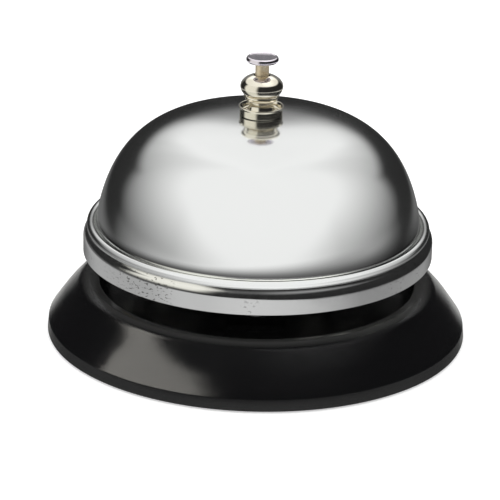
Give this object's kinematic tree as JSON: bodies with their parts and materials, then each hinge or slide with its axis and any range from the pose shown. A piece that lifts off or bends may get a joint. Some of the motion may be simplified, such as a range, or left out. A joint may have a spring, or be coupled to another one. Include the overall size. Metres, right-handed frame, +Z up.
{
  "type": "service bell",
  "caption": "Round counter bell with a flared base, a domed bell with a banded rim, a ball finial and a push button that swings a hidden striker.",
  "frame": {"origin": "centre of the face that the bell stands on, under the middle of the base", "axes": "+Z up along the button's axis, -X towards the striker's hammer, -Y towards the front"},
  "size_m": [0.085, 0.085, 0.0581],
  "materials": {
    "bell_chrome": "polished, faint drawing marks",
    "nickel": "polished nickel, slightly warm",
    "brass_turned": "turned, thinly plated",
    "black_lacquer": "gloss black stoving lacquer",
    "foot_rubber": "matt",
    "zinc_plate": "zinc plated, satin",
    "steel_turned": "turned, semi-bright",
    "spring_steel": "oiled wire"
  },
  "bodies": {
    "root": {"base_pan": "black_lacquer", "foot_ring": "foot_rubber", "mechanism_frame": "black_lacquer", "frame_rivet_front": "steel_turned", "frame_rivet_back": "steel_turned", "center_post": "steel_turned", "post_lock_washer": "spring_steel", "post_nut": "zinc_plate", "bell_seat_washer": "steel_turned", "bell_dome": "bell_chrome", "bell_collar": "nickel", "finial_knob": "nickel", "return_spring": "spring_steel", "pivot_pin": "steel_turned", "pivot_spacer": "brass_turned", "pivot_clip": "spring_steel", "striker_spring": "spring_steel"},
    "plunger": {"plunger_rod": "brass_turned", "plunger_button": "nickel", "stop_collar": "steel_turned"},
    "striker": {"striker_lever": "zinc_plate", "hammer_head": "steel_turned", "hammer_rivet": "brass_turned"}
  },
  "joints": [
    {"name": "button_press", "type": "slide", "parent": "root", "child": "plunger", "axis": [0, 0, -1], "range_m": [0, 0.0027], "stiffness_N_per_m": 350, "springref_m": -0.004, "deforming": ["return_spring"]},
    {"name": "striker_swing", "type": "hinge", "parent": "root", "child": "striker", "pos_m": [-0.012, 0, 0.0279], "axis": [0, 1, 0], "range_deg": [0, 13.2], "stiffness_Nm_per_rad": 0.004, "springref_deg": -28.65, "deforming": ["striker_spring"]}
  ],
  "couplings": [
    {"joint": "striker_swing", "follows": "button_press", "rad_per_m": 84}
  ]
}
